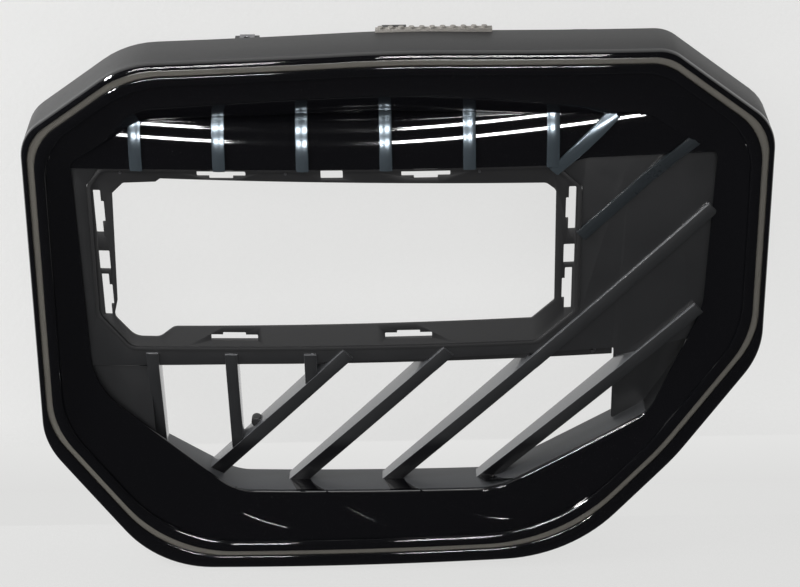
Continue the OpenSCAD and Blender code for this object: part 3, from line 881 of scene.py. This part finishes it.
class GRILLE_OT_slats(bpy.types.Operator):
    """Slats and upright bars of the air opening"""

    bl_idname = "grille.slats"
    bl_label = "Slats and bars"

    def execute(self, context):
        shapes = context.scene.grille_shapes
        w, foot_w = shapes.slat_width / MM, shapes.foot_width / MM
        sunk = 0.5

        def slat_face(_, z):
            return PANEL_Y - CAP_RISE + LEAN * lean_part(z)

        def bar_face(_, z):
            return PANEL_Y - BAR_RISE + LEAN * lean_part(z)

        for name, (foot, knee, head) in SLATS.items():
            foot, knee, head = Vector(foot), Vector(knee), Vector(head)
            low, up = (knee - foot).normalized(), (head - knee).normalized()
            mid = (low + up).normalized()
            step = knee + up * ((under_bar(knee.x) - knee.y) / up.y)
            stations = []
            count = max(3, round((head - step).length / 14))
            for k in range(count + 1):
                p = head.lerp(step, k / count)
                stations.append((p + across(up) * w, p - across(up) * w, slat_face,
                                 PANEL_Y + sunk))
            stations.append((step + across(up) * w, step - across(up) * w, slat_face,
                             lean_back(CAP_RISE, step.y)))
            for k in range(19):
                p = knee.lerp(foot, k / 18)
                wide = w + (foot_w - w) * k / 18
                d = across(mid if k == 0 else low)
                stations.append((p + d * wide, p - d * wide, slat_face,
                                 lean_back(CAP_RISE, p.y)))
            # Both sides end a little under the sill, found in small steps down the slat
            above, under_sill = 20, 0.6
            ends = []
            for sign in (1, -1):
                for k in range(160):
                    p = foot + low * (above - k / 4) + across(low) * foot_w * sign
                    if p.y < sill_height(p.x) - under_sill:
                        break
                ends.append(p)
            stations = [st for st in stations
                        if st[0].y > ends[0].y + 1 and st[1].y > ends[1].y + 1]
            stations.append((ends[0], ends[1], slat_face, lean_back(CAP_RISE, SILL_Z)))
            settle(ribbon(f"{name}_bar", stations, edge=1.2, crown=0.1), "satin_slat", name,
                   sides="grained_side")

        narrower, stub = 1.5, 6
        half = (w - narrower) / 2
        for i, x in enumerate(RIB_X[:3]):
            foot_z = FIRST_BAR_FOOT if i == 0 else [
                on_slat_a(x + s * half, w) for s in (-1, 1)]
            under = under_bar(x)
            stations = []
            for z, back in ((BAR_TOP_Z, PANEL_Y + stub), (under, PANEL_Y + stub),
                            (under, lean_back(BAR_RISE, under))):
                stations.append(((x - half, z), (x + half, z), bar_face, back))
            for k in range(1, 11):
                zl, zr = (under + (z - under) * k / 10 for z in foot_z)
                stations.append(((x - half, zl), (x + half, zr), bar_face,
                                 lean_back(BAR_RISE, (zl + zr) / 2)))
            settle(ribbon(f"bar_{i + 1}_upright", stations, edge=1.0), "satin_slat",
                   f"bar_{i + 1}", sides="grained_side")

        # Snap boss behind the second bar
        bm = bmesh.new()
        spot = Vector((BOSS_X, PANEL_Y + 28, on_slat_a(BOSS_X, w) + 3)) * MM
        bmesh.ops.create_cone(bm, cap_ends=True, segments=28, radius1=BOSS_R * MM,
                              radius2=BOSS_R * MM, depth=BOSS_L * MM,
                              matrix=Matrix.Translation(spot)
                              @ Matrix.Rotation(math.radians(90), 4, "X"))
        bevelled(bm, 1.0, 60, 3)
        settle(finished("snap_boss", bm), "satin_slat", look="matte_frame")
        return {"FINISHED"}


class GRILLE_OT_carrier(bpy.types.Operator):
    """Grained carrier behind the ring, with its seal, buffers and fixings"""

    bl_idname = "grille.carrier"
    bl_label = "Carrier and fixings"

    def execute(self, context):
        settle(softened("skirt", "carrier_frame", 1.2, 50), "grained_plastic", "carrier_frame")
        settle(softened("tabs", "top_tabs", 0.5, 50), "grained_plastic", "top_tabs")
        settle(softened("foam_seal", "top_seal", 0.6, 40), "seal_foam", "top_seal")
        settle(softened("buffers", "corner_buffers", 1.0, 50), "buffer_rubber",
               "corner_buffers")
        settle(softened("nut_clips", "spring_nuts", 0.25, 50), "spring_steel", "spring_nuts")
        for node in ("ring_screws", "panel_screws"):
            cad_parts[node].data.materials.clear()
            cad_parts[node].data.materials.append(finish("screw_steel"))
        return {"FINISHED"}


# ---- stage ----

class GRILLE_OT_stage(bpy.types.Operator):
    """Floor, wall, lights and camera"""

    bl_idname = "grille.stage"
    bl_label = "Stage"

    def execute(self, context):
        stage = context.scene.grille_stage
        low, high = CAD_BOX
        paper_z = low.z - 0.0008
        wall_y = high.y + stage.wall_gap
        wide, deep, tall, cove_r = 2.2, 0.4, 1.7, 0.07

        def sheet(name, size, matrix):
            bm = bmesh.new()
            bmesh.ops.create_grid(bm, x_segments=1, y_segments=1, size=0.5)
            bmesh.ops.transform(bm, verts=bm.verts, matrix=matrix @ Matrix.Diagonal((*size, 1, 1)))
            mesh = bpy.data.meshes.new(name)
            bm.to_mesh(mesh)
            bm.free()
            ob = bpy.data.objects.new(name, mesh)
            context.scene.collection.objects.link(ob)
            return ob

        floor = sheet("floor", (8, 8), Matrix.Translation((0, 0, paper_z - 0.001)))
        paper = sheet("paper", (wide, deep),
                      Matrix.Translation((0, wall_y - deep / 2, paper_z)))
        wall = sheet("wall", (wide, tall), Matrix.Translation((0, wall_y, paper_z + tall / 2))
                     @ Matrix.Rotation(math.radians(90), 4, "X"))
        arc = [math.radians(90) * k / 10 for k in range(11)]
        cove = sweep("cove", [
            [Vector((x, wall_y - cove_r * (1 - math.sin(a)), paper_z + cove_r * (1 - math.cos(a))))
             for x in (-wide / 2, wide / 2)] for a in arc],
            closed_loop=False, joined=False, angle=60)
        floor.visible_glossy = paper.visible_glossy = cove.visible_glossy = False
        for ob, see_through in ((floor, False), (paper, False), (cove, True), (wall, True)):
            f = Finish.named(f"{ob.name}_paint")
            broad = f.noise(9.0, 3.0)
            pits = f.noise(140.0, 3.0, rough=0.6)
            # Painted shade: the paper is darker on the floor than up the wall, to even out the
            # extra light that the floor gets
            rise = ((f.height() - paper_z) * 9.0).clamped()
            tint = f.blend(rise, shade(stage.wall, 0.06), shade(stage.wall, 0.2))
            tint = f.blend(broad * 0.4, tint, shade(stage.wall, 0.1))
            skin = f.node("ShaderNodeBsdfPrincipled", None, {
                "Base Color": tint, "Roughness": 0.85, "Specular IOR Level": 0.1,
                "Emission Color": (1.0, 1.0, 0.99, 1.0), "Emission Strength": stage.wall_glow,
                "Normal": f.bump(pits, 0.4, 0.002)})
            if see_through:
                # Seen from behind, the wall doesn't hide the grille
                back = f.node("ShaderNodeNewGeometry", out="Backfacing")
                clear = f.node("ShaderNodeBsdfTransparent")
                skin = f.node("ShaderNodeMixShader", None, {0: back, 1: skin, 2: clear})
            f.node("ShaderNodeOutputMaterial", None, {"Surface": skin})
            ob.data.materials.append(f.owner)

        # The room is bright to look at and sheds little light
        context.scene.world = bpy.data.worlds.new("room")
        room = Finish(context.scene.world)
        seen, felt = (room.node("ShaderNodeBackground", None, {"Color": colour})
                      for colour in ((0.8, 0.8, 0.81, 1), (0.05, 0.05, 0.053, 1)))
        looked_at = room.node("ShaderNodeLightPath", out="Is Camera Ray")
        both = room.node("ShaderNodeMixShader", None, {0: looked_at, 1: felt, 2: seen})
        room.node("ShaderNodeOutputWorld", None, {"Surface": both})

        def lamp(name, spot, size, power, glossy, aim):
            """A lamp that only gloss reflects, or one that lights only the mattes."""
            data = bpy.data.lights.new(name, "AREA")
            data.shape = "RECTANGLE"
            data.size, data.size_y = size
            data.energy = power
            ob = bpy.data.objects.new(name, data)
            context.scene.collection.objects.link(ob)
            back = -(Vector(aim) - Vector(spot)).normalized()
            right = Vector((1, 0, 0)) - back * back.x
            right.normalize()
            ob.matrix_world = Matrix.Translation(spot) @ Matrix(
                (right, back.cross(right), back)).transposed().to_4x4()
            ob.visible_glossy = glossy
            ob.visible_diffuse = not glossy

        middle, corner = (0, 0, -0.2), (-0.3, -0.05, -0.1)
        # Tube lights on an arc round the visor, each row left and right of a gap
        arc_y, arc_z, arc_r, tube_w = -0.043, -0.105, 2.5, 0.028
        for row, elevation in enumerate((43.5, 46.5, 21.0, 24.0)):
            e = math.radians(elevation)
            y, z = arc_y - arc_r * math.cos(e), arc_z + arc_r * math.sin(e)
            for side, (x0, x1) in enumerate(((-1.5, -0.5), (-0.105, 0.75))):
                lamp(f"tube_{row}_{side}", ((x0 + x1) / 2, y, z), (x1 - x0, tube_w),
                     stage.tube_light, True, middle)
        # Soft light on the mattes: more of it comes from the left
        soft = stage.soft_light
        lamp("soft_left", (-1.0, -1.9, 1.5), (1.4, 0.9), soft, False, middle)
        lamp("soft_right", (0.6, -2.2, 0.9), (1.2, 0.9), soft * 0.5, False, middle)
        lamp("soft_side", (-1.5, -0.35, 0.85), (0.8, 0.8), soft * 1.3, False, corner)
        # Tubes beside the grille, for the beads of the upper left corner
        for shift in (0.0, 0.12):
            lamp(f"tube_side_{shift:.2f}", (-1.5, -0.3, 0.86 + shift), (0.03, 1.3),
                 stage.tube_light * 2.5, True, corner)

        camera = bpy.data.objects.new("camera", bpy.data.cameras.new("camera"))
        context.scene.collection.objects.link(camera)
        context.scene.camera = camera
        camera.data.sensor_width = 36.0
        camera.data.lens = 94.5
        distance, down, roll = 2.32, math.radians(30.0), math.radians(0.9)
        ahead = Vector((0, math.cos(down), -math.sin(down)))
        right, up = Vector((1, 0, 0)), Vector((0, math.sin(down), math.cos(down)))
        right, up = (right * math.cos(roll) - up * math.sin(roll),
                     right * math.sin(roll) + up * math.cos(roll))
        target = Vector((0.002, -0.070, -0.288))
        camera.matrix_world = Matrix.Translation(target - ahead * distance) @ Matrix(
            (right, up, -ahead)).transposed().to_4x4()
        camera.data.clip_start, camera.data.clip_end = 0.05, 50.0
        context.scene.view_settings.view_transform = "Standard"
        return {"FINISHED"}


PIECES = (GRILLE_OT_ring, GRILLE_OT_funnel, GRILLE_OT_visor, GRILLE_OT_panel,
          GRILLE_OT_diagonals, GRILLE_OT_slats, GRILLE_OT_carrier, GRILLE_OT_stage)


class GRILLE_PT_pieces(bpy.types.Panel):
    """Lists the grille's settings and operators"""

    bl_idname = "GRILLE_PT_pieces"
    bl_label = "Front Grille"
    bl_space_type = "VIEW_3D"
    bl_region_type = "UI"
    bl_category = "Grille"

    def draw(self, context):
        for group in GROUPS:
            settings = getattr(context.scene, group)
            box = self.layout.box()
            for name in settings.__annotations__:
                box.prop(settings, name)
        for piece in PIECES:
            self.layout.operator(piece.bl_idname)


GROUPS = {"grille_shapes": GrilleShapes, "grille_finishes": GrilleFinishes,
          "grille_stage": GrilleStage}


def register():
    for cls in (*GROUPS.values(), *PIECES, GRILLE_PT_pieces):
        bpy.utils.register_class(cls)
    for name, group in GROUPS.items():
        setattr(bpy.types.Scene, name, bpy.props.PointerProperty(type=group))


def unregister():
    for name in GROUPS:
        delattr(bpy.types.Scene, name)
    for cls in (GRILLE_PT_pieces, *PIECES[::-1], *GROUPS.values()):
        bpy.utils.unregister_class(cls)


def main():
    register()
    for piece in PIECES:
        group, name = piece.bl_idname.split(".")
        getattr(getattr(bpy.ops, group), name)()


if __name__ == "__main__":
    main()
